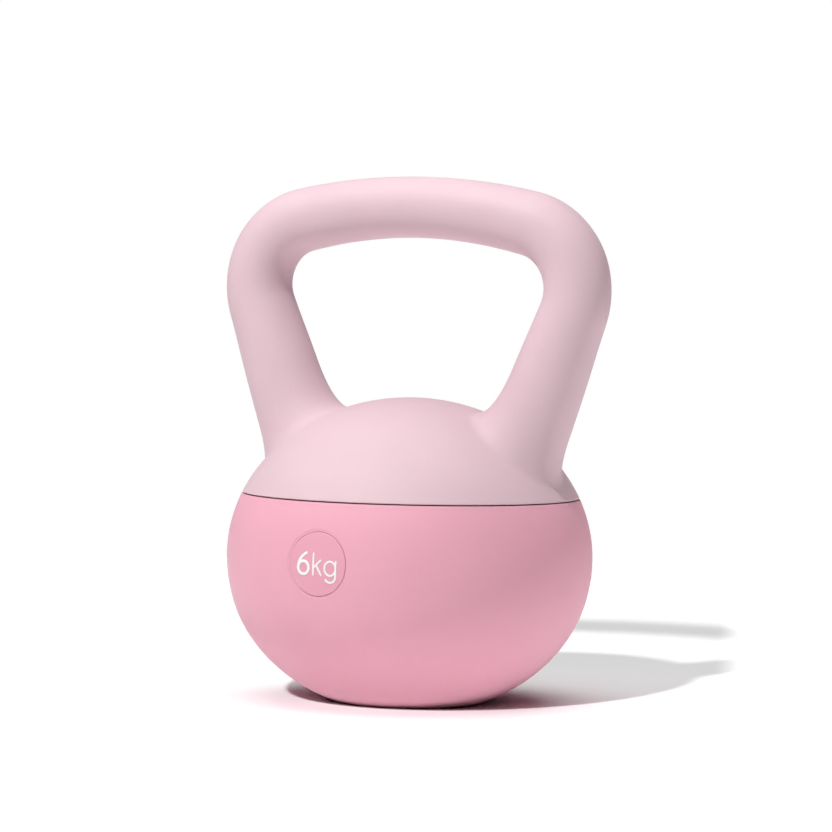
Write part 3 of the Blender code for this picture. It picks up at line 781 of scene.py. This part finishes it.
def stroke_field(strokes, weight):
    """Field of rounded strokes that stand on a plane, for (across, up, rise) points."""

    def field(points):
        flat = points[:, :2]
        nearest = np.full(len(points), np.inf)
        for stroke in strokes:
            for start, end in zip(stroke[:-1], stroke[1:]):
                along = end - start
                share = np.clip((flat - start) @ along / (along @ along), 0, 1)
                gap = flat - start - share[:, None] * along
                nearest = np.minimum(nearest, np.hypot(gap[:, 0], gap[:, 1]))
        half = MARK_THICKNESS / 2
        side = np.maximum(nearest - weight + MARK_EASE, 0)
        cap = np.maximum(np.abs(points[:, 2] - MARK_RISE + half) - half + MARK_EASE, 0)
        return np.hypot(side, cap) - MARK_EASE

    return field


def add_mark():
    """A plain monoline weight mark, numeral and small unit letters, standing just proud of the badge."""
    glyphs = {
        "mark_numeral": [
            loop_of((-7.0, -1.9), 2.9, 3.0),
            bow((-9.9, -1.9), (-9.8, 2.6), (-5.6, 4.9)),
        ],
        "mark_unit_k": [
            [(-1.6, -4.9), (-1.6, 4.9)],
            [(-1.6, -1.7), (2.3, 1.9)],
            [(-0.1, -0.35), (2.6, -4.9)],
        ],
        "mark_unit_g": [
            loop_of((7.2, -1.6), 2.8, 3.3),
            [(10.0, 1.7), (10.0, -5.2)],
            loop_of((7.2, -5.2), 2.8, 2.9, 0, -0.8 * pi, 24),
        ],
    }
    tilt = np.array([[cos(MARK_TILT), sin(MARK_TILT)], [-sin(MARK_TILT), cos(MARK_TILT)]])
    for name, strokes in glyphs.items():
        weight = NUMERAL_STROKE if name == "mark_numeral" else UNIT_STROKE
        strokes = [np.array(stroke) @ tilt * 0.001 for stroke in strokes]
        corners = np.concatenate(strokes)
        low = [*(corners.min(0) - MARK_MARGIN), -0.0006]
        high = [*(corners.max(0) + MARK_MARGIN), 0.0007]
        points, quads = net(stroke_field(strokes, weight), low, high, MARK_CELL)
        placed = badge_point(points[:, 0], points[:, 1], points[:, 2])
        built = bmesh.new()
        verts = [built.verts.new(point) for point in placed]
        for quad in quads.tolist():
            built.faces.new([verts[corner] for corner in quad])
        finish(name, built, mark_white)


def add_rings_and_cap():
    """The gasket that shows in the parting line, and the soft cap in the foot. The gasket's dark reddish
    rubber is partly painted shade: it darkens the parting line, which is mostly a shaded groove.
    """
    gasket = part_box("seam_gasket")
    outer, low, high = gasket[1].x, gasket[0].z, gasket[1].z
    inner = outer - GROOVE_WIDTH + 2 * FIT
    corners = [(outer, high), (outer, low), (inner, low), (inner, high)]
    outline = []
    for number, corner in enumerate(corners):
        outline += eased(corner, corners[number - 1], corners[(number + 1) % 4], RING_EASE, 4)
    # Partly painted shade: this dark ring darkens the parting line on top of the groove's real shade.
    ring = turned("gasket_ring", outline, SIDES, dark_rubber_and_seam_shade)
    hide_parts("seam_gasket")
    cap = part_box("base_cap")
    edge, low, high = cap[1].x, cap[0].z, cap[1].z
    outline = [(0, high), (edge, high)]
    outline += eased((edge, low), (edge, high), (0, low), CAP_EASE, 5)
    groove = edge - CAP_GROOVE_INSET
    floor_out = groove - CAP_GROOVE_BEVEL
    floor_in = groove - CAP_GROOVE_WIDTH + CAP_GROOVE_BEVEL
    bottom = low + CAP_GROOVE_DEPTH
    outline += [(groove, low), (floor_out, bottom), (floor_in, bottom), (groove - CAP_GROOVE_WIDTH, low)]
    outline += [(0.0005, low), (0, low)]
    disc = turned("base_cap_disc", outline, SMALL_SIDES, deep_pink)
    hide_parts("base_cap")


def dress_inner_pieces():
    looks = {
        "handle_core": steel, "core_collar_left": steel, "core_collar_right": steel, "anchor_plate": steel,
        "canister_lid": plastic, "sand_canister": plastic, "filler_plug": plastic,
        "plug_washer": dark_rubber_and_seam_shade, "iron_sand": sand,
    }
    looks.update({f"lid_screw_{number}": steel for number in range(1, 7)})
    for name, surface in looks.items():
        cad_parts[name].data.materials.clear()
        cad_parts[name].data.materials.append(surface)


add_upper_shell()
add_lower_shell()
add_badge()
add_mark()
add_rings_and_cap()
dress_inner_pieces()


# ---- studio ----

CAMERA_AZIMUTH = radians(27.5)
CAMERA_HEIGHT = radians(3.43)
CAMERA_ROLL = radians(1.22)
CAMERA_DISTANCE = 1.966
LENS = 177.6
AIM = Vector((0, 0, 0.0943))
AIM_LEFT = 0.0025
AIM_DOWN = 0.0423

# The floor glows beyond GLOW_START, and past the line where the cast shadow ends, which slants away from the
# camera. SHADOW_END is where that line passes the middle of the ball, to its side.
FLOOR_REACH = 0.75
GLOW_START = 0.42
FAR_GLOW = 0.35
SHADOW_END = 0.155
SHADOW_SLANT = 0.079
SHADOW_FADE = 0.010
SHADOW_GLOW = 0.45

COOL = (0.965, 1.0, 0.985)
WARM = (1.0, 0.84, 0.89)
OBJECT_PANELS = {
    "key": (-15, 56, 1.6, 0.085, 20.9, COOL),
    "overhead": (27.5, 88, 1.3, 1.2, 8.1, COOL),
    "left_wash": (-62.5, 50, 1.5, 0.8, 4.2, WARM),
    "right_wash": (117.5, 45, 1.5, 0.8, 3.7, WARM),
    "back_edge": (165, 25, 1.5, 0.8, 1.3, WARM),
}


def direction(azimuth, elevation):
    return Vector((sin(azimuth) * cos(elevation), -cos(azimuth) * cos(elevation), sin(elevation)))


def add_camera():
    """The camera looks over the middle of the ball, so that the whole handle is in view."""
    back = direction(CAMERA_AZIMUTH, CAMERA_HEIGHT)
    camera = bpy.data.objects.new("camera", bpy.data.cameras.new("camera"))
    bpy.context.scene.collection.objects.link(camera)
    camera.data.lens = LENS
    camera.data.sensor_width = 36
    camera.data.clip_start = 0.05
    camera.data.clip_end = 50
    camera.location = AIM + back * CAMERA_DISTANCE
    camera.rotation_mode = "QUATERNION"
    level = (-back).to_track_quat("-Z", "Y")
    roll = Quaternion((0, 0, 1), CAMERA_ROLL)
    raise_view = Quaternion((1, 0, 0), AIM_DOWN / CAMERA_DISTANCE)
    turn_view = Quaternion((0, 1, 0), -AIM_LEFT / CAMERA_DISTANCE)
    camera.rotation_quaternion = level @ roll @ raise_view @ turn_view
    bpy.context.scene.camera = camera


def add_lamp(name, kind, azimuth, elevation, distance, power, lit):
    """A lamp that faces the ball and lights one collection only, though every object casts its shadow."""
    lamp = bpy.data.lights.new(name, kind)
    lamp.energy = power
    made = bpy.data.objects.new(name, lamp)
    bpy.context.scene.collection.objects.link(made)
    away = direction(radians(azimuth), radians(elevation))
    made.location = AIM + away * distance
    made.rotation_mode = "QUATERNION"
    made.rotation_quaternion = (-away).to_track_quat("-Z", "Y")
    made.light_linking.receiver_collection = lit
    made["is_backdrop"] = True
    return lamp


def add_panel(name, azimuth, elevation, distance, width, power, colour, lit):
    """A square soft panel."""
    lamp = add_lamp(name, "AREA", azimuth, elevation, distance, power, lit)
    lamp.color = colour
    lamp.shape = "SQUARE"
    lamp.size = width


def collection_of(name, members):
    made = bpy.data.collections.new(name)
    for member in members:
        made.objects.link(member)
    return made


def add_floor():
    """White sweep, matt and finely mottled."""
    built = bmesh.new()
    bmesh.ops.create_grid(built, x_segments=20, y_segments=20, size=FLOOR_REACH)
    graph = Graph("white_floor")
    tone = graph.blend(graph.range(graph.noise(3, 3), 0.3, 0.7), (0.862, 0.863, 0.862), (0.868, 0.868, 0.868))
    graph.set(Base_Color=tone, Roughness=graph.range(graph.noise(40, 4), 0.3, 0.7, 0.8, 0.88))
    graph.set(Normal=graph.bump(graph.noise(300, 3), 0.00003))
    graph.surface.inputs["Specular IOR Level"].default_value = 0.1
    graph.surface.inputs["Emission Color"].default_value = (1, 1, 1, 1)
    # Painted light: past a line slanting away from the camera the floor glows and wipes out the cast shadow
    # there; further out it glows so that the far floor stays white.
    split = graph.node("ShaderNodeSeparateXYZ", Vector=graph.place).outputs
    across = graph.math("MULTIPLY", split["X"], cos(CAMERA_AZIMUTH) + SHADOW_SLANT * sin(CAMERA_AZIMUTH))
    along = graph.math("MULTIPLY", split["Y"], sin(CAMERA_AZIMUTH) - SHADOW_SLANT * cos(CAMERA_AZIMUTH))
    side = graph.math("ADD", across, along)
    mask = graph.range(side, SHADOW_END - SHADOW_FADE, SHADOW_END + SHADOW_FADE, 0, SHADOW_GLOW)
    reach = graph.node("ShaderNodeVectorMath", {"operation": "LENGTH"})
    graph.put(reach.inputs[0], graph.place)
    far = graph.range(reach.outputs["Value"], GLOW_START, FLOOR_REACH, 0, FAR_GLOW)
    graph.put(graph.surface.inputs["Emission Strength"], graph.math("MAXIMUM", mask, far))
    floor = finish("studio_floor", built, graph.material, rides=False)
    floor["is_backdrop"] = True
    return floor


def add_world():
    """Seen as white behind the sweep, without lighting anything."""
    world = bpy.data.worlds.new("studio")
    bpy.context.scene.world = world
    world.use_nodes = True
    tree = world.node_tree
    seen = tree.nodes.new("ShaderNodeLightPath").outputs["Is Camera Ray"]
    tree.nodes["Background"].inputs["Color"].default_value = (1, 1, 1, 1)
    tree.links.new(seen, tree.nodes["Background"].inputs["Strength"])


add_world()
floor = add_floor()
on_floor = collection_of("lit_by_floor_lamps", [floor])
on_object = collection_of("lit_by_object_lamps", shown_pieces())
hard = add_lamp("floor_hard", "POINT", 4.8, 31.1, 2.4, 282, on_floor)
hard.shadow_soft_size = 0.056
add_panel("floor_sky", 27.5, 89, 3.0, 3.2, 102, (1, 1, 1), on_floor)
for name, settings in OBJECT_PANELS.items():
    add_panel(name, *settings, on_object)
add_camera()
bpy.context.scene.view_settings.view_transform = "Standard"
